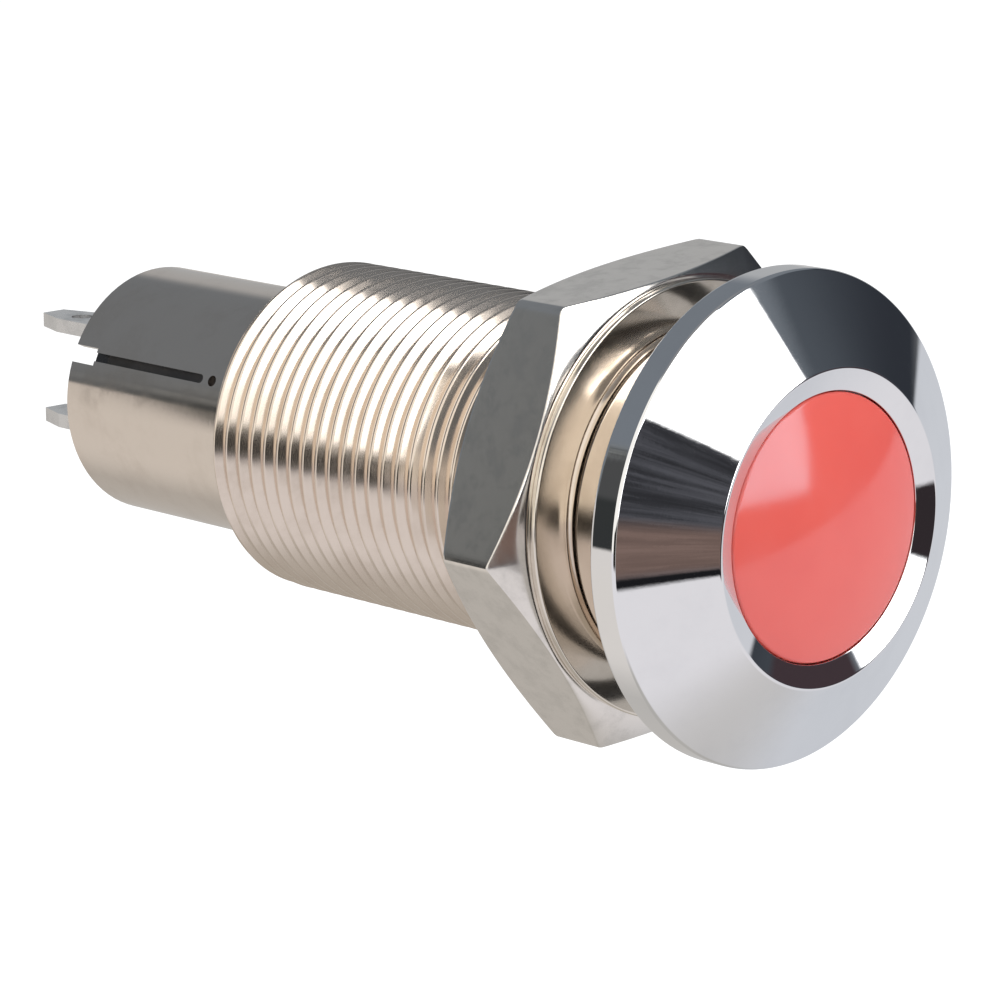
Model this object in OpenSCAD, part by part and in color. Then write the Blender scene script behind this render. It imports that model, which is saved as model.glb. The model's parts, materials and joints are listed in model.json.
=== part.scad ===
// Panel pilot light: a chromed bezel with a domed red lens, a threaded barrel
// with a hexagon panel nut, and a slotted tail tube with two terminal tabs.
// The origin is the centre of the bezel's rear face, where the panel seats.
// The lens looks along -Y, the terminals point along +Y, and +Z is up.

/* [Thread and barrel] */
// Diameter over the thread's crests
thread_d = 17.9; // [17:0.1:19.5]
// Thread pitch
pitch = 1; // [0.75:0.05:1.25]
// Length of the plain collar in front of the thread
collar_len = 1.6; // [1:0.1:3]
// Distance from the panel face to the barrel's rear end
barrel_len = 31.5; // [28:0.5:34]
// Wall of the barrel between the thread's roots and the bore
barrel_wall = 1.49; // [1.2:0.01:1.8]
// Bevel at the rear end of the thread
thread_end_bevel = 0.3; // [0.2:0.1:0.5]

/* [Bezel] */
// Diameter of the bezel's rim
bezel_d = 25; // [23.6:0.1:28]
// Length of the rim's straight side
rim_len = 1.6; // [1.2:0.1:2.5]
// Height of the conical face in front of the rim
cone_h = 2.8; // [2.2:0.1:3.6]
// Diameter of the lip round the lens
lip_d = 15.9; // [15.2:0.1:17]
// Diameter of the opening that the lens looks through
window_d = 13.6; // [13:0.1:14.4]
// Depth of the inner bevel from the lip to the window
lip_bevel = 0.4; // [0.2:0.1:0.8]
// Radius of the rim's front edge and of the lip
edge_r = 0.2; // [0.1:0.05:0.3]

/* [Lens] */
// Rise of the dome over its edge
dome_rise = 1.2; // [0.8:0.1:2]
// Thickness of the flange that holds the lens
flange_t = 1; // [0.8:0.1:1.2]
// Wall thickness of the dome
lens_wall = 1; // [0.8:0.1:1.2]
// Thickness of the rubber ring behind the flange
seal_t = 0.6; // [0.4:0.1:0.8]

/* [Panel gasket] */
// Width of the groove, midway between the thread's crests and the rim
gasket_w = 1.2; // [0.8:0.1:1.4]
// Depth of the groove in the bezel
groove_depth = 0.9; // [0.6:0.1:1.2]
// Height of the gasket over the bezel's rear face
gasket_proud = 0.25; // [0.1:0.05:0.4]

/* [Nut and washer] */
// Distance across the nut's flats
nut_af = 23; // [22:0.1:24]
// Thickness of the nut
nut_t = 5; // [3.4:0.2:6]
// Diameter of the flat face that the nut's corner bevel leaves
nut_face_d = 22.8; // [21:0.1:23]
// Angle of the corner bevel
nut_bevel_angle = 28; // [20:1:36]
// Turn of the nut about the barrel at rest
nut_turn = 53; // [0:1:59]
// Bevel at each mouth of the nut's bore
nut_mouth_bevel = 0.5; // [0.3:0.1:0.8]
// Outer diameter of the washer
washer_d = 22.4; // [21.6:0.1:24]
// Thickness of the washer
washer_t = 0.4; // [0.3:0.1:0.8]
// Gap left between the bezel and the washer for the panel
panel_gap = 4.9; // [2:0.1:8]
// Radial clearance of the nut and the washer over the crests
thread_clearance = 0.05; // [0.03:0.01:0.08]

/* [Tail tube] */
// Wall thickness of the tail tube, which is pressed into the barrel's bore
tail_wall = 0.5; // [0.4:0.1:0.8]
// Length of the tail tube behind the barrel
tail_len = 14.4; // [12:0.2:17]
// Length of the tail tube inside the barrel
tail_grip = 6.5; // [5:0.5:9]
// Width of the long slot
slot_w = 0.5; // [0.4:0.1:1]
// Plain length between the barrel and the slot
slot_start = 3.8; // [3:0.1:6]
// Angle of the slot over the tube's left side
slot_angle = 24.5; // [0:0.5:60]
// Width of the notch at the slot's open end
notch_w = 1; // [0.8:0.1:1.6]
// Depth of the notch
notch_depth = 1.8; // [1:0.1:2.6]
// Depth of the potting inside the tube's end
recess = 1.3; // [0.8:0.1:2]
// Diameter of the pip hole in front of the slot
pip_d = 0.6; // [0.4:0.1:0.8]
// Distance from the slot's end to the middle of the pip hole
pip_gap = 1; // [0.8:0.1:1.4]

/* [Terminals] */
// Width of each tab
tab_w = 2.8; // [2:0.1:3.2]
// Thickness of each tab
tab_t = 0.8; // [0.5:0.1:1]
// Distance from the axis to the middle of a tab
tab_offset = 2.8; // [2.3:0.1:3.2]
// Length of the tabs behind the tail tube
tab_out = 9.6; // [6:0.1:11]
// Length of the tapered tip
tab_taper = 2; // [1:0.1:3]
// Width of the tip's end
tab_tip_w = 1.5; // [1:0.1:2]
// Diameter of the wire hole
tab_hole_d = 1.2; // [0.8:0.1:1.4]
// Length of the foot that is soldered to the board
foot_len = 3.4; // [2.6:0.2:4]
// Length of the joggle from the board out to the block's window
joggle_len = 1.8; // [1.4:0.1:2.4]
// Straight length between the joggle and the terminal block
joggle_gap = 0.6; // [0.4:0.1:1]

/* [Lamp and holder] */
// Thickness of the milky disc behind the lens
diffuser_t = 0.6; // [0.4:0.1:0.8]
// Gap between the disc and the lamp's tip
lamp_gap = 1; // [0.6:0.1:1.4]
// Diameter of the lamp
lamp_d = 5; // [4.6:0.1:5]
// Length of the lamp from its tip to its rear face
lamp_len = 6; // [5.4:0.1:7]
// Width of the lamp's flange beyond its side
lamp_flange_w = 0.4; // [0.3:0.1:0.5]
// Thickness of the lamp's flange
lamp_flange_t = 1; // [0.8:0.1:1.2]
// Length of the lamp that its holder grips
lamp_grip = 2.4; // [2:0.1:2.8]
// Wall thickness at the mouth of the holder's cup
cup_wall = 0.6; // [0.4:0.1:1]
// Length of the holder behind the lamp, up to its shoulder
holder_back = 2; // [1.4:0.1:3]
// Length of the holder's spigot inside the liner
holder_spigot = 3; // [2:0.1:4]

/* [Board and its parts] */
// Wall thickness of the insulating liner
liner_wall = 0.5; // [0.4:0.05:0.6]
// Thickness of the circuit board
board_t = 1.6; // [1.2:0.1:1.6]
// Gap between the board and the terminal block
board_gap = 0.3; // [0.2:0.1:0.6]
// Length of the lamp's leads along the board
lamp_foot = 3; // [2:0.1:4]
// Diameter of the resistor's body
resistor_d = 2.4; // [1.8:0.1:2.6]
// Length of the resistor's body
resistor_len = 6.4; // [5:0.2:7]
// Distance from the resistor's end to its lead hole
resistor_reach = 1.8; // [1.5:0.1:2.2]
// Diameter of the diode's body
diode_d = 2.6; // [2:0.1:2.8]
// Length of the diode's body
diode_len = 4.4; // [3.6:0.2:5]
// Distance from the diode's end to its lead hole
diode_reach = 2.1; // [1.6:0.1:2.6]
// Diameter of the wire leads
lead_d = 0.6; // [0.4:0.05:0.6]
// Radius of the bend of each lead
lead_bend = 1; // [0.8:0.1:1.1]
// Radial gap of a lead in its hole
lead_gap = 0.1; // [0.05:0.05:0.2]
// Length of a cut lead under the board
lead_below = 0.9; // [0.8:0.1:1.2]
// Radius of a solder cone on the board
solder_r = 0.9; // [0.7:0.1:1.1]
// Height of a solder cone
solder_h = 0.7; // [0.5:0.1:0.8]

/* [Terminal block] */
// Length of the moulded terminal block
block_len = 5.1; // [4:0.1:7]
// Thickness of the potting over the block
potting_t = 1; // [0.6:0.1:1.4]

/* [Hidden] */
$fn = 96;

// Cutters reach this far past the faces that they open
past = 1;
// Radial gap of parts that seat in one another
seat_gap = 0.02;
// Step from the thread's root down to the front spigot
spigot_step = 0.1;
// Step from the barrel's bore out to the seal's opening
seal_step = 0.1;
// Steps of each dome from its edge to the axis
dome_steps = 12;

// Thread section: 60 degree flanks, an eighth of a pitch flat at the crest
crest_r = thread_d / 2;
crest_flat = pitch / 8;
root_flat = pitch / 4;
flank = (pitch - crest_flat - root_flat) / 2;
root_r = crest_r - flank / tan(30);
bore_r = root_r - barrel_wall;

// The barrel's front spigot sits in the bezel, level with the lens flange
spigot_r = root_r - spigot_step;
spigot_len = rim_len;
socket_r = spigot_r + seat_gap;
flange_r = socket_r - 2 * seat_gap;
bezel_front = -(rim_len + cone_h);
seal_front = -(spigot_len + seal_t);
flange_front = seal_front - flange_t;
gasket_mid = (crest_r + bezel_d / 2) / 2;
gasket_in = gasket_mid - gasket_w / 2;
gasket_out = gasket_mid + gasket_w / 2;
window_r = window_d / 2;
lens_edge = bezel_front + lip_bevel;

// Nut and washer stand on the barrel behind the panel gap
washer_rear = panel_gap + washer_t;
nut_rear = washer_rear + nut_t;
nut_bore_r = crest_r + thread_clearance;
nut_corner_r = nut_af / 2 / cos(30);

// Tail tube, liner and what they hold
tail_r = bore_r - seat_gap;
tail_in_r = tail_r - tail_wall;
tail_front = barrel_len - tail_grip;
tail_end = barrel_len + tail_len;
potting_rear = tail_end - recess;
block_rear = potting_rear - potting_t;
block_front = block_rear - block_len;
liner_r = tail_in_r - seat_gap;
liner_in_r = liner_r - liner_wall;

// Lamp holder and lamp, from the front of the bore backwards
lamp_r = lamp_d / 2;
lamp_dome = 0.9 * lamp_r;
diffuser_rear = diffuser_t - spigot_len;
lamp_tip = diffuser_rear + lamp_gap;
lamp_flange_r = lamp_r + lamp_flange_w;
lamp_base = lamp_tip + lamp_len;
holder_wall_r = bore_r - seat_gap;
holder_shoulder = lamp_base + holder_back;
holder_rear = holder_shoulder + holder_spigot;
cup_mouth_r = holder_wall_r - cup_wall;
cup_floor = lamp_base - lamp_grip;

// The board lies across the axis between the holder and the terminal block
board_half = board_t / 2;
board_front = holder_rear;
board_rear = block_front - board_gap;
board_w = 2 * sqrt(pow(liner_in_r - seat_gap, 2) - pow(board_half, 2));
lead_r = lead_d / 2;
lead_hole_r = lead_r + lead_gap;
lamp_lead_y = board_half + lead_r;
lamp_lead_end = board_front + lamp_foot;

// Tabs stand on the board with a joggled foot
foot_rear = block_front - joggle_gap - joggle_len;
foot_front = foot_rear - foot_len;
tab_end = tail_end + tab_out;

// Leaded parts stand in the middle of the free board
parts_mid = (lamp_lead_end + foot_front) / 2;
resistor_span = resistor_len + 2 * resistor_reach;
diode_span = diode_len + 2 * diode_reach;

// Turns depth behind the panel face into +Y, with the local -Y side up
module along_depth() {
    rotate([-90, 0, 0]) children();
}

// A turned piece from its half section of [radius, depth] points
module turned(section) {
    along_depth() rotate_extrude() polygon(section);
}

// A plain ring between two radii and two depths
module ring(outer_r, inner_r, front, rear) {
    turned([[inner_r, front], [outer_r, front], [outer_r, rear], [inner_r, rear]]);
}

// Points of a fillet of radius r at corner b of the path a, b, c
function rounded(a, b, c, r, steps = 4) =
    let (
        u = (a - b) / norm(a - b),
        v = (c - b) / norm(c - b),
        half_angle = acos(u * v) / 2,
        reach = r / tan(half_angle),
        middle = b + (u + v) / norm(u + v) * r / sin(half_angle),
        first = b + u * reach - middle,
        last = b + v * reach - middle,
        start = atan2(first[1], first[0]),
        swing = atan2(first[0] * last[1] - first[1] * last[0], first * last)
    )
    [for (i = [0:steps]) middle + r * [cos(start + swing * i / steps), sin(start + swing * i / steps)]];

// Points of a dome from its edge to the axis, bulging to the front
function dome(edge_r, edge_depth, rise, steps = dome_steps) =
    let (
        sphere_r = (edge_r * edge_r + rise * rise) / (2 * rise),
        span = asin(edge_r / sphere_r),
        centre = edge_depth - rise + sphere_r
    )
    [for (i = [0:steps]) [sphere_r * sin(span * (1 - i / steps)),
                          centre - sphere_r * cos(span * (1 - i / steps))]];

// Crests and roots of the thread as rings, starting behind the collar
function thread_rings(from, count) =
    [for (i = [0:count - 1]) each
        let (at = from + i * pitch)
        [[crest_r, at], [root_r, at + flank], [root_r, at + flank + root_flat],
         [crest_r, at + 2 * flank + root_flat]]];

module bezel() {
    rear_edge = [bezel_d / 2, 0];
    rim_edge = [bezel_d / 2, -rim_len];
    lip = [lip_d / 2, bezel_front];
    window = [window_r, lens_edge];
    color("silver") turned(concat(
        [[socket_r, 0], [gasket_in, 0], [gasket_in, -groove_depth],
         [gasket_out, -groove_depth], [gasket_out, 0]],
        rounded([gasket_out, 0], rear_edge, rim_edge, edge_r),
        rounded(rear_edge, rim_edge, lip, edge_r),
        rounded(rim_edge, lip, window, edge_r),
        [window, [window_r, flange_front], [socket_r, flange_front]]));
}

module lens() {
    side_r = window_r - seat_gap;
    hollow_r = side_r - lens_wall;
    color("tomato") turned(concat(
        dome(side_r, lens_edge, dome_rise),
        [for (i = [0:dome_steps]) dome(hollow_r, lens_edge + lens_wall, dome_rise)[dome_steps - i]],
        [[hollow_r, seal_front], [flange_r, seal_front], [flange_r, flange_front],
         [side_r, flange_front]]));
}

module lens_seal() {
    color("dimgray") ring(flange_r, bore_r + seal_step, seal_front, -spigot_len);
}

module panel_gasket() {
    inner = gasket_in + seat_gap;
    outer = gasket_out - seat_gap;
    color("dimgray") turned(concat(
        [[inner, -groove_depth], [outer, -groove_depth]],
        rounded([outer, -groove_depth], [outer, gasket_proud], [inner, gasket_proud], edge_r),
        rounded([outer, gasket_proud], [inner, gasket_proud], [inner, -groove_depth], edge_r)));
}

module threaded_barrel() {
    count = floor((barrel_len - collar_len - thread_end_bevel) / pitch);
    thread_end = collar_len + count * pitch;
    color("gainsboro") turned(concat(
        [[bore_r, -spigot_len], [spigot_r, -spigot_len], [spigot_r, 0], [crest_r, 0]],
        thread_rings(collar_len, count),
        [[crest_r, thread_end - crest_flat / 2],
         [crest_r - thread_end_bevel, barrel_len], [bore_r, barrel_len]]));
}

module tail_sleeve() {
    slot_from = barrel_len + slot_start;
    color("darkgray") difference() {
        ring(tail_r, tail_in_r, tail_front, tail_end);
        along_depth() rotate(180 + slot_angle) {
            translate([tail_in_r - past, -slot_w / 2, slot_from])
                cube([tail_wall + 2 * past, slot_w, tail_end + past - slot_from]);
            translate([tail_in_r - past, 0, slot_from])
                rotate([0, 90, 0]) cylinder(h = tail_wall + 2 * past, d = slot_w);
            translate([tail_in_r - past, -notch_w / 2, tail_end - notch_depth])
                cube([tail_wall + 2 * past, notch_w, notch_depth + past]);
            translate([tail_in_r - past, 0, slot_from - pip_gap])
                rotate([0, 90, 0]) cylinder(h = tail_wall + 2 * past, d = pip_d);
        }
    }
}

module lock_washer() {
    color("tan") ring(washer_d / 2, nut_bore_r, panel_gap, washer_rear);
}

// The hexagon is cut by one turned envelope that bevels the corners of both ends
module hex_nut() {
    reach = nut_corner_r + past;
    drop = (reach - nut_face_d / 2) * tan(nut_bevel_angle);
    mouth_r = nut_bore_r + nut_mouth_bevel;
    color("darkgray") intersection() {
        along_depth() translate([0, 0, washer_rear]) rotate(nut_turn)
            linear_extrude(nut_t) circle(r = nut_corner_r, $fn = 6);
        turned([[mouth_r, washer_rear], [nut_face_d / 2, washer_rear],
                [reach, washer_rear + drop], [reach, nut_rear - drop],
                [nut_face_d / 2, nut_rear], [mouth_r, nut_rear],
                [nut_bore_r, nut_rear - nut_mouth_bevel],
                [nut_bore_r, washer_rear + nut_mouth_bevel]]);
    }
}

module diffuser() {
    color("white") ring(bore_r - 2 * seat_gap, 0, -spigot_len, diffuser_rear);
}

// A moulded cup: reflector cone in front, lamp seat, and a spigot for the liner
module lamp_holder() {
    seat = lamp_base - lamp_flange_t;
    color("whitesmoke") turned([
        [cup_mouth_r, diffuser_rear], [holder_wall_r, diffuser_rear],
        [holder_wall_r, holder_shoulder], [liner_in_r - seat_gap, holder_shoulder],
        [liner_in_r - seat_gap, holder_rear], [lamp_flange_r + seat_gap, holder_rear],
        [lamp_flange_r + seat_gap, seat], [lamp_r + seat_gap, seat],
        [lamp_r + seat_gap, cup_floor]]);
}

module led() {
    seat = lamp_base - lamp_flange_t;
    color("mistyrose") {
        turned(concat(
            dome(lamp_r, lamp_tip + lamp_dome, lamp_dome),
            [[0, lamp_base], [lamp_flange_r, lamp_base], [lamp_flange_r, seat],
             [lamp_r, seat]]));
        for (side = [-1, 1])
            along_depth() translate([0, side * lamp_lead_y, lamp_base])
                cylinder(h = lamp_lead_end - lamp_base, r = lead_r);
    }
}

// The two lead holes of one leaded part, along the board
module lead_holes(span, r) {
    for (end = [-1, 1])
        along_depth() translate([0, 0, parts_mid + end * span / 2])
            rotate([90, 0, 0]) cylinder(h = board_t + 2 * past, r = r, center = true);
}

module circuit_board() {
    color("seagreen") difference() {
        along_depth() translate([-board_w / 2, -board_half, board_front])
            cube([board_w, board_t, board_rear - board_front]);
        translate([-board_w / 4, 0, 0]) lead_holes(resistor_span, lead_hole_r);
        translate([board_w / 4, 0, 0]) lead_holes(diode_span, lead_hole_r);
    }
}

// A body with two leads bent down through the board and cut short under it
module leaded_part(body_d, body_len, span, body_color) {
    height = board_half + body_d / 2;
    color(body_color) translate([0, parts_mid, height])
        rotate([-90, 0, 0]) cylinder(h = body_len, d = body_d, center = true);
    color("silver") for (end = [-1, 1])
        translate([0, parts_mid, 0]) mirror([0, end < 0 ? 1 : 0, 0]) {
            translate([0, body_len / 2, height]) rotate([-90, 0, 0])
                cylinder(h = span / 2 - lead_bend - body_len / 2, r = lead_r);
            translate([0, span / 2 - lead_bend, height - lead_bend]) rotate([0, -90, 0])
                rotate_extrude(angle = 90) translate([lead_bend, 0]) circle(r = lead_r, $fn = 24);
            translate([0, span / 2, -board_half - lead_below])
                cylinder(h = height - lead_bend + board_half + lead_below, r = lead_r);
        }
}

module dropping_resistor() {
    translate([-board_w / 4, 0, 0])
        leaded_part(resistor_d, resistor_len, resistor_span, "burlywood");
}

module rectifier_diode() {
    translate([board_w / 4, 0, 0])
        leaded_part(diode_d, diode_len, diode_span, "black");
}

// Solder cones round the cut lead ends, under the board
module solder_joints() {
    for (part = [[-board_w / 4, resistor_span], [board_w / 4, diode_span]])
        for (end = [-1, 1])
            translate([part[0], parts_mid + end * part[1] / 2, -board_half])
                color("lightgray") difference() {
                    mirror([0, 0, 1]) cylinder(h = solder_h, r1 = solder_r, r2 = lead_hole_r);
                    cylinder(h = 4 * solder_h, r = lead_r, center = true);
                }
}

module insulating_liner() {
    color("ivory") ring(liner_r, liner_in_r, holder_shoulder, block_front);
}

// Side view of one tab, from its joggled foot to the tip: [height, depth] points
function tab_side() =
    let (inner = tab_offset - tab_t / 2, outer = tab_offset + tab_t / 2)
    [[board_half, foot_front], [board_half, foot_rear], [inner, foot_rear + joggle_len],
     [inner, tab_end], [outer, tab_end], [outer, foot_rear + joggle_len - tab_t / 3],
     [board_half + tab_t, foot_rear - tab_t / 3], [board_half + tab_t, foot_front]];

// One tab on the upper side of the board
module tab() {
    taper_from = tab_end - tab_taper;
    difference() {
        intersection() {
            translate([-tab_w / 2, 0, 0]) rotate([90, 0, 90]) linear_extrude(tab_w)
                polygon([for (p = tab_side()) [p[1], p[0]]]);
            linear_extrude(tab_offset + tab_t)
                polygon([[-tab_w / 2, foot_front], [tab_w / 2, foot_front],
                         [tab_w / 2, taper_from], [tab_tip_w / 2, tab_end],
                         [-tab_tip_w / 2, tab_end], [-tab_w / 2, taper_from]]);
        }
        translate([0, taper_from - tab_hole_d / 2, tab_offset])
            cylinder(h = tab_t + past, d = tab_hole_d, center = true);
    }
}

// The two windows that the tabs pass through, for the block and the potting
module tab_windows(front, rear) {
    for (side = [-1, 1])
        along_depth() translate([-tab_w / 2, side * tab_offset - tab_t / 2, front - past])
            cube([tab_w, tab_t, rear - front + 2 * past]);
}

module terminal_block() {
    color("black") difference() {
        ring(liner_r, 0, block_front, block_rear);
        tab_windows(block_front, block_rear);
    }
}

module potting() {
    color("black") difference() {
        ring(liner_r, 0, block_rear, potting_rear);
        tab_windows(block_rear, potting_rear);
    }
}

module terminal_upper() {
    color("lightgray") tab();
}

module terminal_lower() {
    color("lightgray") rotate([0, 180, 0]) tab();
}

bezel();
lens();
lens_seal();
panel_gasket();
threaded_barrel();
tail_sleeve();
lock_washer();
hex_nut();
diffuser();
lamp_holder();
led();
circuit_board();
dropping_resistor();
rectifier_diode();
solder_joints();
insulating_liner();
terminal_block();
potting();
terminal_upper();
terminal_lower();
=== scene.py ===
# %% [markdown]
# A panel pilot light is the small signal lamp on a switchboard door. A chromed
# bezel holds a domed red lens, a threaded barrel goes through the panel, and a
# hexagon nut clamps it from behind. The slim tail tube carries two flat tabs.
# The packed model gives the places and the sizes, so each finish and each finer
# surface is laid on that frame and nothing is fitted by eye.

# %% Load the frame
import json
import math

import bmesh
import bpy
import numpy as np
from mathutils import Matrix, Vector

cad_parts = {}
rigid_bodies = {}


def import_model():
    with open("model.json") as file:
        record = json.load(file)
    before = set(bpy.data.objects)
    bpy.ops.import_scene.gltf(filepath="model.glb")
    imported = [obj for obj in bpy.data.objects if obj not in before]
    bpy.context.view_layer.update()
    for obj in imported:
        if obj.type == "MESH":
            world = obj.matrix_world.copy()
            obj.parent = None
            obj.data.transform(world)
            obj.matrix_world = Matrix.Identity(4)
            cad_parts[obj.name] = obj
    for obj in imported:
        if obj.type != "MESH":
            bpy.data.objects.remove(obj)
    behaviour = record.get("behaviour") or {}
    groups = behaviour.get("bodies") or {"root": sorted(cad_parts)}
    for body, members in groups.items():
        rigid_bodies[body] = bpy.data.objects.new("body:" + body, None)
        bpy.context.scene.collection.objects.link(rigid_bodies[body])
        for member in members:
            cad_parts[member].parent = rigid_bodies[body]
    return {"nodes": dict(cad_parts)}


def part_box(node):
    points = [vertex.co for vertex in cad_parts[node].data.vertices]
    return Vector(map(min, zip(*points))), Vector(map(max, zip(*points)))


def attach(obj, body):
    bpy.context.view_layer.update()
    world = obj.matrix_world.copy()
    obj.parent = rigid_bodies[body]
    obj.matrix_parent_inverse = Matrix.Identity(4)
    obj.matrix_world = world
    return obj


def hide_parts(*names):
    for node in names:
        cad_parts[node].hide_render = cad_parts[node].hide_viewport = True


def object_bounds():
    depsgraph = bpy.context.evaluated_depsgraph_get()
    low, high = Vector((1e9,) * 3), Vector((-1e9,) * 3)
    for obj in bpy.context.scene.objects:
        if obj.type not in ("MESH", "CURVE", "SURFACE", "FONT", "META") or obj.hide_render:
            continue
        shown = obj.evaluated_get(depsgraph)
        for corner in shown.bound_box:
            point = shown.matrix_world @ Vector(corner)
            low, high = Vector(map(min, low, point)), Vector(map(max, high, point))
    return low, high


for leftover in list(bpy.data.objects):
    bpy.data.objects.remove(leftover)
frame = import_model()
nodes = frame["nodes"]
cad_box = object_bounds()
MM = 0.001
print("CAD box in mm:", [round(v / MM, 2) for corner in cad_box for v in corner])

# %% [markdown]
# The camera looks at the lens from the front left and a little from above. A
# long lens keeps the round bezel an even oval. The direction is written as an
# azimuth and an elevation, which are easy to read and to change, and the rotation
# is worked out from them.

# %% Camera
CAMERA_AZIMUTH = math.radians(-44.7)
CAMERA_ELEVATION = math.radians(12.63)
CAMERA_DISTANCE = 214.8 * MM
CAMERA_TARGET = Vector((-9.85, 8.67, 0.95)) * MM
FOCAL_LENGTH = 157.1

look = Vector((
    -math.sin(CAMERA_AZIMUTH) * math.cos(CAMERA_ELEVATION),
    math.cos(CAMERA_AZIMUTH) * math.cos(CAMERA_ELEVATION),
    -math.sin(CAMERA_ELEVATION),
))
camera_data = bpy.data.cameras.new("camera")
camera_data.lens = FOCAL_LENGTH
camera_data.clip_start = 0.01
camera = bpy.data.objects.new("camera", camera_data)
bpy.context.collection.objects.link(camera)
camera.location = CAMERA_TARGET - look * CAMERA_DISTANCE
camera.rotation_euler = look.to_track_quat("-Z", "Y").to_euler()
bpy.context.scene.camera = camera
print("camera at", [round(v, 4) for v in camera.location])

# %% [markdown]
# A shader is a graph of small steps. These helpers write that graph as one line
# a step: `tree.math("ADD", a, b)` makes a node, joins its inputs and gives back
# its output, so a formula reads as a formula.

# %% A short way to write node trees
def rgb(r, g, b):
    """A colour as a shader socket takes it."""
    return (r, g, b, 1.0)


class Tree:
    """Writes nodes into one node tree; each call returns the new node's output."""

    def __init__(self, node_tree):
        self.nodes = node_tree.nodes
        self.links = node_tree.links

    def feed(self, socket, value):
        """Join an output to the socket, or set the socket's own value."""
        if isinstance(value, bpy.types.NodeSocket):
            self.links.new(value, socket)
        elif value is not None:
            socket.default_value = value

    def node(self, kind, inputs=(), output=0, **settings):
        """Add a node; inputs is a list by place or a dict by name or place."""
        made = self.nodes.new(kind)
        for key, value in settings.items():
            setattr(made, key, value)
        pairs = inputs.items() if isinstance(inputs, dict) else enumerate(inputs)
        for key, value in pairs:
            self.feed(made.inputs[key], value)
        return made.outputs[output] if len(made.outputs) else None

    def math(self, operation, *values):
        """One step of arithmetic on one or two values."""
        return self.node("ShaderNodeMath", values, operation=operation)

    def scale(self, colour, factor):
        """A colour of three numbers, times a factor that changes over the surface."""
        return self.node("ShaderNodeVectorMath", {0: colour, "Scale": factor},
                         operation="SCALE")

    def mix(self, factor, a, b):
        """Colour a where the factor is 0, colour b where it is 1."""
        made = self.nodes.new("ShaderNodeMix")   # sockets 6, 7 and 2 are its colours
        made.data_type = "RGBA"
        self.feed(made.inputs[0], factor)
        self.feed(made.inputs[6], a)
        self.feed(made.inputs[7], b)
        return made.outputs[2]

    def step(self, value, low, high, to_low=0.0, to_high=1.0):
        """Goes smoothly from to_low to to_high as value goes from low to high."""
        return self.node("ShaderNodeMapRange", [value, low, high, to_low, to_high],
                         interpolation_type="SMOOTHSTEP")

    def noise(self, vector, scale, detail=3.0, roughness=0.5):
        """Soft clouds from 0 to 1; one cloud is about 1 / scale metres wide."""
        return self.node("ShaderNodeTexNoise",
                         {"Vector": vector, "Scale": scale, "Detail": detail,
                          "Roughness": roughness})


print("node helpers:", [name for name in vars(Tree) if not name.startswith("_")])

# %% [markdown]
# A mirror finish shows the room more than its own colour, so the room comes
# first. It is painted on the world by direction: the azimuth is 0 straight in
# front of the lens and climbs to the right of someone who faces it, and the
# elevation is 0 at its height. Each thing in the room is a rectangle in those
# degrees with soft edges, which is light to render and easy to move.

# %% Directions in the room
world = bpy.data.worlds.new("studio")
bpy.context.scene.world = world
world.use_nodes = True
world.node_tree.nodes.clear()
room = Tree(world.node_tree)
DEGREES = 180 / math.pi

direction = room.node("ShaderNodeTexCoord", output="Generated")
split = room.nodes.new("ShaderNodeSeparateXYZ")
room.links.new(direction, split.inputs[0])
azimuth = room.math("MULTIPLY",
                    room.math("ARCTAN2", split.outputs[0],
                              room.math("MULTIPLY", split.outputs[1], -1.0)), DEGREES)
elevation = room.math("MULTIPLY", room.math("ARCSINE", split.outputs[2]), DEGREES)


def band(value, low, high, soft=1.0):
    """1 between low and high degrees, 0 outside, with soft edges."""
    rise = room.step(value, low - soft, low + soft)
    fall = room.step(value, high - soft, high + soft, 1.0, 0.0)
    return room.math("MULTIPLY", rise, fall)


def panel(az_low, az_high, el_low, el_high, soft=1.0, across=azimuth):
    """1 in a rectangle of the room, by its azimuth and elevation in degrees."""
    return room.math("MULTIPLY", band(across, az_low, az_high, soft),
                     band(elevation, el_low, el_high, soft))


def lay(light, colour, *place):
    """Paints a panel of the room over what is there already."""
    return room.mix(panel(*place), light, colour)


def line(value, low, high, to_low, to_high):
    """A straight, clamped climb from to_low to to_high."""
    return room.node("ShaderNodeMapRange", [value, low, high, to_low, to_high])


print("directions made with", len(room.nodes), "nodes")

# %% [markdown]
# The room is a plain studio. A large white softbox stands in front, and the camera
# stands dark before its left part. The left wall is bright, the right one is dark,
# and the wall behind is grey with a window in it. Each layer covers the ones before
# it, as in painting.

# %% Walls, softbox and camera stand
WALL = rgb(0.186, 0.207, 0.232)
CEILING = rgb(0.30, 0.30, 0.30)
LEFT_WALL = rgb(1.08, 1.05, 0.99)
NAVY = rgb(0.080, 0.092, 0.108)
DARK_NAVY = rgb(0.030, 0.034, 0.043)
BACK_WINDOW = rgb(0.44, 0.45, 0.46)
SHADE = (0.175, 0.180, 0.176)
DEEP_SHADE = rgb(0.074, 0.075, 0.075)
GAP = rgb(0.032, 0.031, 0.028)
SOFTBOX = rgb(4.0, 4.0, 4.0)
STAND = (0.055, 0.056, 0.064)
BROWN = (0.19, 0.130, 0.112)
BLACK = rgb(0.012, 0.012, 0.014)
DARK_DOOR = rgb(0.032, 0.025, 0.028)
WINE = rgb(0.055, 0.038, 0.044)
LINE = rgb(0.035, 0.038, 0.038)
SOFTBOX_LEAN = 0.18
STAND_LEFT, STAND_RIGHT = -20.5, 0.0
FLOOR_LINE = -24.0

# Patches that make the stand and the shade lighter and darker
grain = room.step(room.noise(direction, 26.0, 6.0, 0.7), 0.36, 0.66, 0.55, 1.6)
light = room.mix(room.step(elevation, 52, 75), WALL, CEILING)
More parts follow.
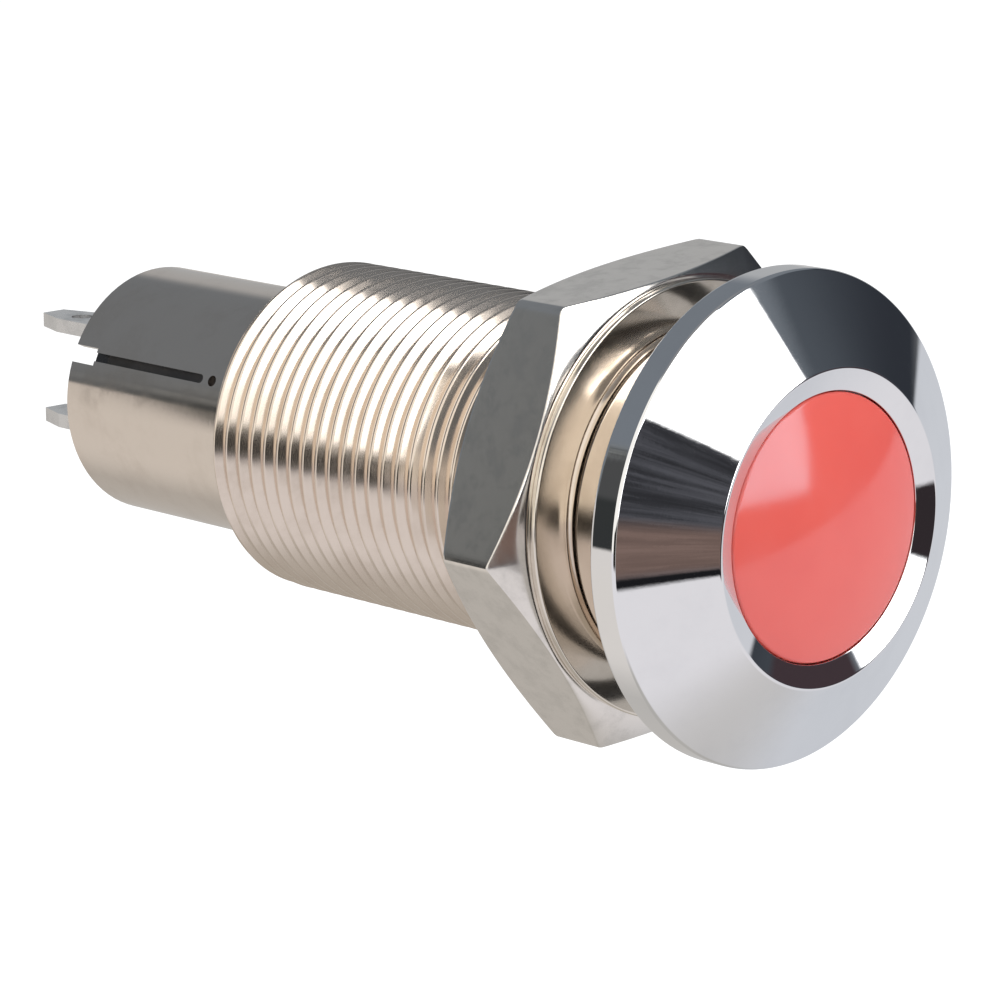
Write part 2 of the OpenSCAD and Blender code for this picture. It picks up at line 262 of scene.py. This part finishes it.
# The dark right wall with its door, and the window behind it
navy = room.mix(room.step(azimuth, 46, 90), NAVY, DARK_NAVY)
light = lay(light, navy, 41, 98, -30, 34, 1.5)
light = lay(light, WINE, 38, 67, -2, 15, 1.5)
light = lay(light, BACK_WINDOW, 99, 150, -8, 26, 5.0)
# The bright left wall, and the shade at its far end
light = lay(light, LEFT_WALL, -125, -16, FLOOR_LINE, 60, 2.0)
light = lay(light, room.scale(SHADE, grain), -139.5, -135, -12, 24, 2.0)
light = lay(light, DEEP_SHADE, -136.4, -125, -12, 22, 0.8)
light = lay(light, LINE, -139, -125, -12, 7, 1.5)
# The softbox leans to the right; its upper right corner is cut off, and the space
# under it is dark
leaning = room.math("SUBTRACT", azimuth, room.math("MULTIPLY", elevation, SOFTBOX_LEAN))
light = lay(light, SOFTBOX, -26, 34, -2.0, 64, 1.2, leaning)
light = lay(light, WALL, 25, 60, 39.5, 72, 1.5)
light = lay(light, DARK_DOOR, 0, 41, FLOOR_LINE, -2.2, 0.8)
# The camera stand: dark above, brown in the middle, black at the foot
light = lay(light, room.scale(STAND, grain), STAND_LEFT, STAND_RIGHT, FLOOR_LINE, 19.5, 0.8)
brown = room.scale(BROWN, line(grain, 0.4, 1.7, 0.8, 1.2))
brown_part = room.math("MULTIPLY", band(azimuth, STAND_LEFT, STAND_RIGHT),
                       band(elevation, -17.5, -4.5, 2.5))
light = room.mix(brown_part, light, brown)
light = lay(light, BLACK, STAND_LEFT, STAND_RIGHT, FLOOR_LINE, -18.0, 0.6)
print("walls, softbox and stand painted:", len(room.nodes), "nodes")

# %% [markdown]
# The pale table fills the room below. Its far edge is low in front, climbs to the
# right, and lies level on the left and a little higher behind. It is cooler on the
# right, warmer behind on the left, and darker behind. Straight below, the lamp body's
# own shadow is painted on it as a darker tone. Only glossy rays see the room.
# Everything else sees an even pale light, so colours stay as they are written.

# %% Table, and what each kind of ray sees
TABLE = rgb(0.80, 0.785, 0.81)
SIDE_TABLE = rgb(0.62, 0.64, 0.68)
LEFT_TABLE = rgb(0.735, 0.70, 0.665)
BACK_TABLE = rgb(0.525, 0.505, 0.48)
# The painted shadow of the lamp body on the table straight below
TABLE_IN_BODY_SHADOW = rgb(0.48, 0.465, 0.44)
front_edge = line(azimuth, 0, 84, -20.5, 0.5)
left_edge = room.step(azimuth, -139, -137, 3.0, -10.0)
on_left = room.step(azimuth, -22, -20, 1.0, 0.0)
table_limit = room.node("ShaderNodeMix", [on_left, None, front_edge, left_edge])
on_table = room.step(room.math("SUBTRACT", elevation, table_limit), -0.8, 0.8, 1.0, 0.0)
table = room.mix(room.step(azimuth, 25, 95), TABLE, SIDE_TABLE)
turned_away = room.math("ABSOLUTE", room.math("ADD", azimuth, 20.0))
table = room.mix(room.step(azimuth, -138, -112, 1.0, 0.0), table, LEFT_TABLE)
table = room.mix(room.step(turned_away, 132, 165), table, BACK_TABLE)
# Painted shadow: the table straight below is darkened where the lamp body would shade it
table = room.mix(room.step(elevation, -64, -44, 1.0, 0.0), table, TABLE_IN_BODY_SHADOW)
light = room.mix(on_table, light, table)
# The dark gap between the table and the left wall
light = lay(light, GAP, -75, -22.5, -16, -2, 1.5)

WHITE_LEVEL = rgb(1.0, 1.0, 1.0)
SOFT_LEVEL = rgb(0.80, 0.80, 0.81)
rays = room.nodes.new("ShaderNodeLightPath")
seen = room.mix(rays.outputs["Is Glossy Ray"], SOFT_LEVEL, light)
seen = room.mix(rays.outputs["Is Camera Ray"], seen, WHITE_LEVEL)
seen = room.mix(rays.outputs["Is Transmission Ray"], seen, WHITE_LEVEL)
backdrop = room.node("ShaderNodeBackground", {"Color": seen, "Strength": 1.0})
room.node("ShaderNodeOutputWorld", {"Surface": backdrop})
bpy.context.scene.view_settings.view_transform = "Standard"
print("room painted with", len(room.nodes), "nodes")

# %% [markdown]
# One soft lamp from the side of the softbox gives the lens and the rubber their
# soft shading. The metal already sees the painted softbox, so the lamp is hidden
# from glossy rays and nothing is lit twice. The floor is pale and lies well below
# the lamp body, which hangs in its own frame as a panel would hold it.

# %% Lamp and floor
KEY_SIZE = 0.35
KEY_POWER = 1.6
KEY_PLACE = (0.12, -0.42, 0.34)
key_data = bpy.data.lights.new("key", "AREA")
key_data.size = KEY_SIZE
key_data.energy = KEY_POWER
key = bpy.data.objects.new("key", key_data)
bpy.context.collection.objects.link(key)
key.location = KEY_PLACE
key.rotation_euler = (-key.location).to_track_quat("-Z", "Y").to_euler()
key.visible_glossy = False

FLOOR_DROP = 0.040
FLOOR_HALF = 3.0
floor_z = cad_box[0].z - FLOOR_DROP
floor_mesh = bpy.data.meshes.new("floor")
corners = [(x, y, floor_z) for x, y in ((-1, -1), (1, -1), (1, 1), (-1, 1))]
floor_mesh.from_pydata([(x * FLOOR_HALF, y * FLOOR_HALF, z) for x, y, z in corners],
                       [], [(0, 1, 2, 3)])
floor = bpy.data.objects.new("floor", floor_mesh)
bpy.context.collection.objects.link(floor)
floor.visible_glossy = False

paper = bpy.data.materials.new("pale_floor")
paper.use_nodes = True
paper.node_tree.nodes.clear()
tree = Tree(paper.node_tree)
FLOOR_COLOUR = rgb(0.86, 0.86, 0.86)
FLOOR_LIFT = 0.34
matt = tree.node("ShaderNodeBsdfDiffuse", {"Color": FLOOR_COLOUR})
camera_ray = tree.node("ShaderNodeLightPath", output="Is Camera Ray")
glow = tree.node("ShaderNodeEmission",
                 {"Color": WHITE_LEVEL,
                  "Strength": tree.math("MULTIPLY", camera_ray, FLOOR_LIFT)})
both = tree.node("ShaderNodeAddShader", [matt, glow])
tree.node("ShaderNodeOutputMaterial", {"Surface": both})
floor_mesh.materials.append(paper)
print("floor", round(FLOOR_DROP / MM), "mm below the lamp body")

# %% [markdown]
# Most of this object is turned on a lathe, so most pieces are one profile carried
# round the Y axis. Working it out with numpy gives even, fine steps, smooth
# normals and crisp edges, which mirror finishes show at once.

# %% Profiles
ARC_STEPS = 6
SUPPORT = 0.06 * MM
SUPPORT_SHARE = 1.4


def round_path(points, radius, closed=True):
    """Points of a path with each corner rounded by an arc tangent to both sides.

    points are (radius, depth, corner radius); the last is left out for the usual
    radius, and 0 keeps the corner sharp. The arc's centre lies on the corner's
    bisector at radius / sin(half the angle). One more point beside each end of an
    arc keeps the bend of a smooth normal inside that short step.
    """
    out = []
    count = len(points)
    for i, point in enumerate(points):
        here = np.array(point[:2], float)
        r = point[2] if len(point) > 2 else radius
        if not r or (not closed and i in (0, count - 1)):
            out.append(here)
            continue
        before = np.array(points[i - 1][:2], float) - here
        after = np.array(points[(i + 1) % count][:2], float) - here
        u, v = before / np.linalg.norm(before), after / np.linalg.norm(after)
        half = math.acos(np.clip(u @ v, -1, 1)) / 2
        reach = r / math.tan(half)
        centre = here + (u + v) / np.linalg.norm(u + v) * r / math.sin(half)
        first, last = here + u * reach - centre, here + v * reach - centre
        start = math.atan2(first[1], first[0])
        swing = math.atan2(first[0] * last[1] - first[1] * last[0], first @ last)
        angles = start + swing * np.linspace(0, 1, ARC_STEPS + 1)
        beside = min(reach + SUPPORT, reach * SUPPORT_SHARE)
        out.append(here + u * beside)
        out.extend(centre + r * np.column_stack([np.cos(angles), np.sin(angles)]))
        out.append(here + v * beside)
    return np.array(out)


def dome_arc(edge_radius, edge_depth, rise, steps=40):
    """A cap's profile from its edge to the axis, as a circle through both.

    Its radius is (edge squared + rise squared) / (twice the rise).
    """
    sphere = (edge_radius ** 2 + rise ** 2) / (2 * rise)
    angles = np.linspace(math.asin(edge_radius / sphere), 0, steps + 1)
    return np.column_stack([sphere * np.sin(angles),
                            edge_depth - rise + sphere * (1 - np.cos(angles))])


print("a rounded corner has", ARC_STEPS + 3, "points")

# %% [markdown]
# A surface is a grid of points, and the quads join each point to its neighbours.
# Where the grid closes on itself, the last row joins the first. One function makes
# every mesh from such arrays, so doubles, normals and crisp edges are treated alike.

# %% Grids and turned pieces
TURN_STEPS = 256


def grid_faces(rows, columns, wrap_rows=False, wrap_columns=True):
    """Quads of a grid whose vertex (i, j) has the number i * columns + j."""
    i = np.arange(rows if wrap_rows else rows - 1)
    j = np.arange(columns if wrap_columns else columns - 1)
    i, j = (a.ravel() for a in np.meshgrid(i, j, indexing="ij"))
    i_next, j_next = (i + 1) % rows, (j + 1) % columns
    return np.column_stack([i * columns + j, i * columns + j_next,
                            i_next * columns + j_next, i_next * columns + j])


def make_piece(name, vertices, faces, crisp, merge=0.002 * MM):
    """A mesh object from arrays, doubles merged.

    It is smooth but for its crisp edges, which bend by more than crisp degrees.
    """
    mesh = bpy.data.meshes.new(name)
    mesh.from_pydata(np.asarray(vertices).tolist(), [], np.asarray(faces).tolist())
    work = bmesh.new()
    work.from_mesh(mesh)
    bmesh.ops.remove_doubles(work, verts=work.verts, dist=merge)
    bmesh.ops.dissolve_degenerate(work, edges=work.edges, dist=merge / 2)
    bmesh.ops.recalc_face_normals(work, faces=work.faces)
    work.to_mesh(mesh)
    work.free()
    mesh.shade_smooth()
    mesh.set_sharp_from_angle(angle=math.radians(crisp))
    piece = bpy.data.objects.new(name, mesh)
    bpy.context.collection.objects.link(piece)
    print(name, len(mesh.vertices), "points", len(mesh.polygons), "faces")
    return piece


def spin(profile, steps=TURN_STEPS):
    """Turns (radius, depth) rows round the Y axis: x = r cos a, z = r sin a, y = depth."""
    profile = np.asarray(profile, float)
    angles = np.linspace(0, 2 * math.pi, steps, endpoint=False)
    r, depth = profile[:, :1], profile[:, 1:2]
    return np.stack([r * np.cos(angles), depth + 0 * angles, r * np.sin(angles)],
                    axis=-1).reshape(-1, 3)


def turned(name, profile, crisp, closed=True):
    """A turned piece from a profile in metres; an open profile ends on the axis."""
    faces = grid_faces(len(profile), TURN_STEPS, wrap_rows=closed)
    return make_piece(name, spin(profile), faces, crisp)


print("turned pieces have", TURN_STEPS, "steps round the axis")

# %% [markdown]
# Each finish is a material with its own small flaws. Two effects come back on
# every metal piece, so each is a node group: fine lathe marks that run round the
# axis, and the smears and dull spots that handling leaves.

# %% Shared effects
def effect(name, inputs, outputs):
    """An empty node group with named inputs and outputs."""
    group = bpy.data.node_groups.new(name, "ShaderNodeTree")
    for label, kind, value in inputs:
        socket = group.interface.new_socket(label, in_out="INPUT", socket_type=kind)
        if value is not None:
            socket.default_value = value
    for label, kind in outputs:
        group.interface.new_socket(label, in_out="OUTPUT", socket_type=kind)
    tree = Tree(group)
    return group, tree, tree.nodes.new("NodeGroupInput"), tree.nodes.new("NodeGroupOutput")


FLOAT, VECTOR = "NodeSocketFloat", "NodeSocketVector"

lathe_marks, tree, inlet, outlet = effect(
    "lathe_marks", [("Vector", VECTOR, None), ("Spacing", FLOAT, 9000.0)],
    [("Height", FLOAT)])
parts = tree.nodes.new("ShaderNodeSeparateXYZ")
tree.links.new(inlet.outputs["Vector"], parts.inputs[0])
radius = tree.math("SQRT", tree.math("ADD", tree.math("POWER", parts.outputs[0], 2.0),
                                     tree.math("POWER", parts.outputs[2], 2.0)))
along = tree.math("ADD", parts.outputs[1], radius)
spaced = tree.math("MULTIPLY", along, inlet.outputs["Spacing"])
ring_place = tree.node("ShaderNodeCombineXYZ", [spaced])
tree.links.new(tree.noise(ring_place, 1.0, 2.0), outlet.inputs["Height"])

handling, tree, inlet, outlet = effect(
    "handling", [("Vector", VECTOR, None), ("Size", FLOAT, 350.0), ("Amount", FLOAT, 0.3)],
    [("Dull", FLOAT), ("Height", FLOAT)])
broad = tree.noise(inlet.outputs["Vector"], inlet.outputs["Size"], 5.0, 0.62)
FINER = 7.0
fine = tree.noise(inlet.outputs["Vector"],
                  tree.math("MULTIPLY", inlet.outputs["Size"], FINER), 4.0, 0.6)
smear = tree.math("MULTIPLY", tree.step(broad, 0.42, 0.68), inlet.outputs["Amount"])
tree.links.new(smear, outlet.inputs["Dull"])
tree.links.new(fine, outlet.inputs["Height"])
print("effects:", lathe_marks.name, "and", handling.name)

# %% [markdown]
# Every finish starts in the same way: a Principled shader, plain values on its own
# sockets, and patterns placed by Object coordinates, so they stay on the piece
# when it moves.

# %% Material helpers
MIRROR_WAVE = 2e-6
GRAIN_DEPTH = 4e-6


def use(tree, group, output, **inputs):
    """Place a group in a material, with its inputs by name."""
    made = tree.nodes.new("ShaderNodeGroup")
    made.node_tree = group
    for label, value in inputs.items():
        tree.feed(made.inputs[label], value)
    return made.outputs[output]


def new_material(name, **plain):
    """A Principled material; plain values are set on the shader's own sockets."""
    made = bpy.data.materials.new(name)
    made.use_nodes = True
    shader = made.node_tree.nodes["Principled BSDF"]
    for label, value in plain.items():
        shader.inputs[label.replace("_", " ")].default_value = value
    tree = Tree(made.node_tree)
    place = tree.node("ShaderNodeTexCoord", output="Object")
    return made, tree, shader, place


def bump(tree, shader, height, strength, distance):
    """Turns a height, times the distance in metres, into the shader's normal."""
    made = tree.nodes.new("ShaderNodeBump")
    made.inputs["Strength"].default_value = strength
    made.inputs["Distance"].default_value = distance
    tree.links.new(height, made.inputs["Height"])
    tree.links.new(made.outputs[0], shader.inputs["Normal"])


print("bump depth of the mirrors:", MIRROR_WAVE / MM, "mm")

# %% [markdown]
# Plated brass keeps a warm tone, and chrome is nearly neutral. Each metal is one
# call: it goes from a bright to a dull tone, and from smooth to rougher, where
# hands have been. The bump stays within two thousandths of a millimetre, because
# a mirror shows the least wave.

# %% Metal finishes
def metal(name, bright, dull, rough_low, rough_high, marks=0.0, spacing=9000.0,
          size=350.0, amount=0.5, flaws=0.05):
    """A plated metal: the colour goes from bright to dull where it was handled."""
    made, tree, shader, place = new_material(name, Metallic=1.0)
    smear = use(tree, handling, "Dull", Vector=place, Size=size, Amount=amount)
    tree.links.new(tree.mix(smear, bright, dull), shader.inputs["Base Color"])
    tree.links.new(tree.step(smear, 0.0, 1.0, rough_low, rough_high),
                   shader.inputs["Roughness"])
    rings = use(tree, lathe_marks, "Height", Vector=place, Spacing=spacing)
    grain = use(tree, handling, "Height", Vector=place, Size=size)
    height = tree.math("ADD", tree.math("MULTIPLY", rings, marks),
                       tree.math("MULTIPLY", grain, flaws))
    bump(tree, shader, height, 1.0, MIRROR_WAVE)
    return made


chrome = metal("mirror_chrome", rgb(0.87, 0.87, 0.88), rgb(0.82, 0.82, 0.835),
               0.02, 0.08, size=260.0, amount=0.6, flaws=0.3)
nickel = metal("nickel_plate", rgb(0.80, 0.70, 0.61), rgb(0.72, 0.62, 0.53),
               0.14, 0.22, marks=0.03, amount=0.7, flaws=0.04)
drawn_nickel = metal("drawn_nickel", rgb(0.77, 0.695, 0.625), rgb(0.70, 0.625, 0.555),
                     0.09, 0.17, marks=0.12, spacing=7000.0, amount=0.7, flaws=0.2)
nut_metal = metal("nut_plate", rgb(0.83, 0.79, 0.745), rgb(0.68, 0.65, 0.61),
                  0.13, 0.21, marks=0.15, spacing=7000.0, size=800.0, amount=0.6,
                  flaws=0.25)
washer_metal = metal("washer_brass", rgb(0.80, 0.74, 0.66), rgb(0.70, 0.64, 0.56),
                     0.11, 0.18, marks=0.12, spacing=7000.0, amount=0.6, flaws=0.05)
tin = metal("tinned_tab", rgb(0.80, 0.80, 0.80), rgb(0.70, 0.70, 0.70),
            0.26, 0.40, size=700.0, amount=0.8, flaws=0.2)
METALS = (chrome, nickel, drawn_nickel, nut_metal, washer_metal, tin)
print("metals:", [finish.name for finish in METALS])

# %% [markdown]
# The bezel is one turned and chromed ring. The cone carries the whole look, and
# the tiny radii at the rim and at the lip catch the thin bright lines. The CAD
# boxes give the rim, the front and the gasket's and the lens's outer edges. The
# other values repeat the turned profile.

# %% Bezel
low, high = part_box("bezel")
rim_r = high.x
bezel_front = low.y
RIM_LENGTH = 1.6 * MM
LIP_R = 7.95 * MM
WINDOW_R = 6.8 * MM
LIP_BEVEL = 0.4 * MM
EDGE_R = 0.2 * MM
SHARP_EDGE_R = 0.05 * MM
GASKET_GROOVE = 0.9 * MM
GASKET_WIDTH = 1.16 * MM
SOCKET_GAP = 0.04 * MM
FLANGE_FRONT = -3.2 * MM
flange_r, flange_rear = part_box("lens")[1][:2]
gasket_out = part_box("panel_gasket")[1].x
gasket_in = gasket_out - GASKET_WIDTH
socket_r = flange_r + SOCKET_GAP
bezel_profile = round_path([
    (socket_r, 0.0, 0), (gasket_in, 0.0, 0), (gasket_in, -GASKET_GROOVE, 0),
    (gasket_out, -GASKET_GROOVE, 0), (gasket_out, 0.0, 0),
    (rim_r, 0.0, EDGE_R), (rim_r, -RIM_LENGTH, EDGE_R), (LIP_R, bezel_front, EDGE_R),
    (WINDOW_R, bezel_front + LIP_BEVEL, SHARP_EDGE_R), (WINDOW_R, FLANGE_FRONT, 0),
    (socket_r, FLANGE_FRONT, 0),
], EDGE_R)
bezel_ring = turned("bezel_ring", bezel_profile, crisp=24.0)
bezel_ring.data.materials.append(chrome)
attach(bezel_ring, "housing")
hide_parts("bezel")

# %% [markdown]
# The lens is a moulded red cap. Light goes a little way into it and comes back
# out red, over a clear gloss. A plain thick dome is enough, because the moulding
# has no pattern on its face. Its edge is rounded and stands a hair off the lip,
# which draws the thin dark line round it.

# %% Lens
LENS_GAP = 0.07 * MM
LENS_WALL = 1.0 * MM
DOME_RISE = 1.2 * MM
LENS_EDGE_R = 0.2 * MM
side_r = WINDOW_R - LENS_GAP
lens_edge = bezel_front + LIP_BEVEL
dome_end = side_r - LENS_EDGE_R
outer_dome = dome_arc(side_r, lens_edge, DOME_RISE)
outer_dome = outer_dome[outer_dome[:, 0] < dome_end][::-1]
inner_dome = dome_arc(side_r - LENS_WALL, lens_edge + LENS_WALL, DOME_RISE)
skirt = round_path([
    outer_dome[-1], (side_r, lens_edge, LENS_EDGE_R), (side_r, FLANGE_FRONT, 0),
    (flange_r, FLANGE_FRONT, 0), (flange_r, flange_rear, 0),
    (side_r - LENS_WALL, flange_rear, 0)], LENS_EDGE_R, closed=False)[1:]
lens_profile = np.vstack([outer_dome, skirt, inner_dome])
lens_cap = turned("lens_cap", lens_profile, crisp=40.0, closed=False)

LENS_RED, LENS_DEEP_RED = rgb(0.725, 0.120, 0.098), rgb(0.700, 0.108, 0.090)
red, tree, shader, place = new_material(
    "red_lens", Metallic=0.0, IOR=1.68, Specular_Tint=rgb(0.30, 0.85, 1.0),
    Subsurface_Weight=0.12, Subsurface_Radius=(0.004, 0.001, 0.0008), Subsurface_Scale=0.5)
cloud = tree.noise(place, 160.0, 3.0)
tree.links.new(tree.mix(tree.step(cloud, 0.35, 0.7), LENS_RED, LENS_DEEP_RED),
               shader.inputs["Base Color"])
tree.links.new(tree.step(tree.noise(place, 500.0, 4.0), 0.4, 0.7, 0.11, 0.16),
               shader.inputs["Roughness"])
bump(tree, shader, tree.noise(place, 220.0, 2.0), 0.3, MIRROR_WAVE)
lens_cap.data.materials.append(red)
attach(lens_cap, "housing")
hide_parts("lens")

# %% [markdown]
# The barrel's thread is a true helix. Each row of the grid is one line of the
# thread's section, and it climbs by one pitch in one turn, so the row that ends a
# turn meets the row that starts the next. The depth fades in behind a smooth
# collar, and the thread closes on a clean ring at the rear end.

# %% Threaded barrel
low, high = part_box("threaded_barrel")
crest_r = high.x
barrel_front, barrel_rear = low.y, high.y
PITCH = 1.0 * MM
COLLAR = 1.6 * MM
THREAD_START = 3.9 * MM
BORE_R = 6.919 * MM
SPIGOT_R = 8.25 * MM
END_BEVEL = 0.3 * MM
RUN_IN = 1.4 * MM
RUN_OUT = 0.15 * MM
# Shares of one pitch: the flat crest, the flat root and the rounding between
CREST = 0.10
ROOT = 0.12
ROUND = 0.05
# A sharp 60 degree groove, less an eighth of it at the crest and a quarter at the root
thread_depth = (1 - 1 / 8 - 1 / 4) / 2 * PITCH / math.tan(math.radians(30))
root_start = CREST + (1 - CREST - ROOT) / 2
# Place along one pitch and share of the depth there, down the first flank
down = np.array([
    (CREST - ROUND / 2, 0.0), (CREST + ROUND / 2, 0.03), (CREST + ROUND * 1.4, 0.14),
    (root_start - ROUND * 1.4, 0.86), (root_start - ROUND / 2, 0.965),
    (root_start + ROUND / 2, 1.0)])
# The other flank is its mirror image, so a place p goes to 1 + CREST - p
up = np.column_stack([1 + CREST - down[:0:-1, 0], down[:0:-1, 1]])
section = np.vstack([[(0.0, 0.0)], down, up])


def helix_rows(section, pitch, start, end, steps):
    """Rows of a helical thread: depth = start + pitch (turn + place + a / 2 pi).

    The radius is the crest less the section's depth, faded in over RUN_IN and cut
    by the end bevel; rows past either end lie on that end's circle.
    """
    angles = np.linspace(0, 2 * math.pi, steps + 1)
    turns = np.arange(-1, math.ceil((end - start) / pitch) + 1)
    place = (turns[:, None] + section[:, 0]).reshape(-1, 1)
    depth = start + pitch * (place + angles / (2 * math.pi))
    cut = np.tile(section[:, 1], len(turns)).reshape(-1, 1) * thread_depth
    clipped = np.clip(depth, start, end)
    fade = np.clip((clipped - THREAD_START) / RUN_IN, 0, 1) ** 2
    radius = crest_r - cut * fade
    radius = np.minimum(radius, crest_r - np.clip(clipped - (end - END_BEVEL), 0, None))
    close = np.clip((clipped - (end - RUN_OUT)) / RUN_OUT, 0, 1)
    radius += close * (crest_r - END_BEVEL - radius)
    return np.stack([radius * np.cos(angles), clipped, radius * np.sin(angles)], axis=-1)


BARREL_STEPS = 200
rows = helix_rows(section, PITCH, COLLAR, barrel_rear, BARREL_STEPS)
thread_faces = grid_faces(rows.shape[0], rows.shape[1], wrap_columns=False)
core_profile = [
    (crest_r, COLLAR), (crest_r, 0.0), (SPIGOT_R, 0.0), (SPIGOT_R, barrel_front),
    (BORE_R, barrel_front), (BORE_R, barrel_rear), (crest_r - END_BEVEL, barrel_rear)]
core = spin(core_profile, BARREL_STEPS)
core_faces = grid_faces(len(core_profile), BARREL_STEPS) + rows.reshape(-1, 3).shape[0]
barrel = make_piece("barrel_thread", np.vstack([rows.reshape(-1, 3), core]),
                    np.vstack([thread_faces, core_faces]), crisp=50.0)
barrel.data.materials.append(nickel)
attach(barrel, "housing")
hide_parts("threaded_barrel")

# %% [markdown]
# The nut is a hexagon with both ends bevelled. Its radius at each angle is worked
# out from the six flats, slightly rounded where two meet, and the bevel drops
# with that radius. So the curved edge that the bevel leaves on each flat comes
# from the formula by itself.

# %% Hexagon nut
low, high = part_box("hex_nut")
nut_front, nut_rear = low.y, high.y
NUT_AF = 23.0 * MM
NUT_FACE_R = 11.4 * MM
NUT_BEVEL = math.radians(28)
NUT_TURN = math.radians(53)
NUT_GAP = 0.05 * MM
NUT_BORE_R = crest_r + NUT_GAP
NUT_MOUTH = 0.5 * MM
NUT_EDGE = 0.08 * MM
BEVEL_START = 0.06
CORNER_POWER = 150.0
NUT_STEPS = 720


def hexagon_radius(angles, across_flats, turn, power):
    """Half the width over flats, divided by the power norm of the flats' cosines.

    A high power gives a hexagon with crisp corners, and a low one rounds them.
    """
    flats = turn + math.radians(30) + np.radians(60) * np.arange(6)
    cosines = np.clip(np.cos(angles[:, None] - flats), 0, None)
    return across_flats / 2 / (cosines ** power).sum(axis=1) ** (1 / power)


angles = np.linspace(0, 2 * math.pi, NUT_STEPS, endpoint=False)
hexagon = hexagon_radius(angles, NUT_AF, -NUT_TURN, CORNER_POWER)
over = hexagon - NUT_FACE_R
drop = over * math.tan(NUT_BEVEL)


def nut_end(face, inward):
    """Rows of one end from the bore to the flat; inward is the sign of the way in.

    The bevel's depth is the part of the hexagon past the face, times its slope,
    and the last four rows round the bevel's outer edge.
    """
    rows = [
        (NUT_BORE_R, NUT_MOUTH), (NUT_BORE_R + NUT_MOUTH, 0.0),
        (NUT_FACE_R - NUT_EDGE, 0.0),
        (NUT_FACE_R + over * BEVEL_START, drop * BEVEL_START + NUT_EDGE * 0.1),
        (hexagon - NUT_EDGE * 0.9, drop - NUT_EDGE * 0.45),
        (hexagon - NUT_EDGE * 0.25, drop),
        (hexagon, drop + NUT_EDGE), (hexagon, drop + NUT_EDGE * 1.5)]
    return [np.column_stack([r * np.cos(angles), face + inward * depth + 0 * angles,
                             r * np.sin(angles)]) for r, depth in rows]


nut_rows = nut_end(nut_front, 1) + nut_end(nut_rear, -1)[::-1]
nut_points = np.concatenate(nut_rows)
panel_nut = make_piece("panel_nut", nut_points,
                       grid_faces(len(nut_rows), NUT_STEPS, wrap_rows=True), crisp=22.0)
panel_nut.data.materials.append(nut_metal)
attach(panel_nut, "nut")
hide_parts("hex_nut")

# %% [markdown]
# The washer is stamped from sheet, and the die rolls its outer edge a little. It is
# one turned ring with that radius, because the edge is what shows beside the nut.

# %% Washer
low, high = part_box("lock_washer")
STAMP_R = 0.1 * MM
washer_profile = round_path([
    (NUT_BORE_R, low.y, SHARP_EDGE_R), (high.x, low.y, STAMP_R),
    (high.x, high.y, STAMP_R), (NUT_BORE_R, high.y, SHARP_EDGE_R)], STAMP_R)
washer_ring = turned("washer_ring", washer_profile, crisp=40.0)
washer_ring.data.materials.append(washer_metal)
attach(washer_ring, "washer")
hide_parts("lock_washer")

# %% [markdown]
# The other pieces keep their CAD meshes and get their own finish: rubber, resin,
# moulded plastic, board laminate and tinned metal. Each has a fine grain, because
# even a dark part shows a texture where light grazes it.

# %% Finishes of the kept parts
def plain_finish(name, light_colour, dark_colour, rough, grain_size,
                 depth=GRAIN_DEPTH, **plain):
    """A non-metal: colour clouded between two tones, with a fine grain."""
    made, tree, shader, place = new_material(name, Metallic=0.0, **plain)
    clouds = tree.noise(place, grain_size * 0.3, 4.0)
    tree.links.new(tree.mix(tree.step(clouds, 0.35, 0.65), light_colour, dark_colour),
                   shader.inputs["Base Color"])
    fine = tree.noise(place, grain_size, 3.0)
    tree.links.new(tree.step(fine, 0.3, 0.7, rough - 0.06, rough + 0.06),
                   shader.inputs["Roughness"])
    bump(tree, shader, fine, 0.6, depth)
    return made


rubber = plain_finish("black_rubber", rgb(0.035, 0.035, 0.037), rgb(0.02, 0.02, 0.022),
                      0.62, 2500.0)
resin = plain_finish("potting_resin", rgb(0.022, 0.022, 0.024), rgb(0.014, 0.014, 0.015),
                     0.22, 500.0, 2 * GRAIN_DEPTH, Coat_Weight=0.3)
black_plastic = plain_finish("black_plastic", rgb(0.03, 0.03, 0.032), rgb(0.02, 0.02, 0.02),
                             0.45, 1800.0)
milky = plain_finish("milky_plastic", rgb(0.86, 0.86, 0.84), rgb(0.80, 0.80, 0.78),
                     0.4, 1500.0)
lamp_red = plain_finish("lamp_red", rgb(0.62, 0.07, 0.06), rgb(0.5, 0.05, 0.05),
                        0.12, 700.0)
laminate = plain_finish("board_laminate", rgb(0.06, 0.22, 0.11), rgb(0.04, 0.16, 0.08),
                        0.35, 1600.0)
coating = plain_finish("resistor_coat", rgb(0.62, 0.48, 0.30), rgb(0.52, 0.40, 0.25),
                       0.42, 1400.0)
film = plain_finish("liner_film", rgb(0.03, 0.03, 0.033), rgb(0.02, 0.02, 0.022),
                    0.4, 900.0)

FINISH = {
    "tail_sleeve": drawn_nickel, "terminal_upper": tin, "terminal_lower": tin,
    "solder_joints": tin, "lens_seal": rubber, "panel_gasket": rubber,
    "potting": resin, "terminal_block": black_plastic, "rectifier_diode": black_plastic,
    "diffuser": milky, "lamp_holder": milky, "led": lamp_red, "circuit_board": laminate,
    "dropping_resistor": coating, "insulating_liner": film,
}
for name, finish in FINISH.items():
    nodes[name].data.materials.clear()
    nodes[name].data.materials.append(finish)
print("finishes on", len(FINISH), "kept parts")

# %% [markdown]
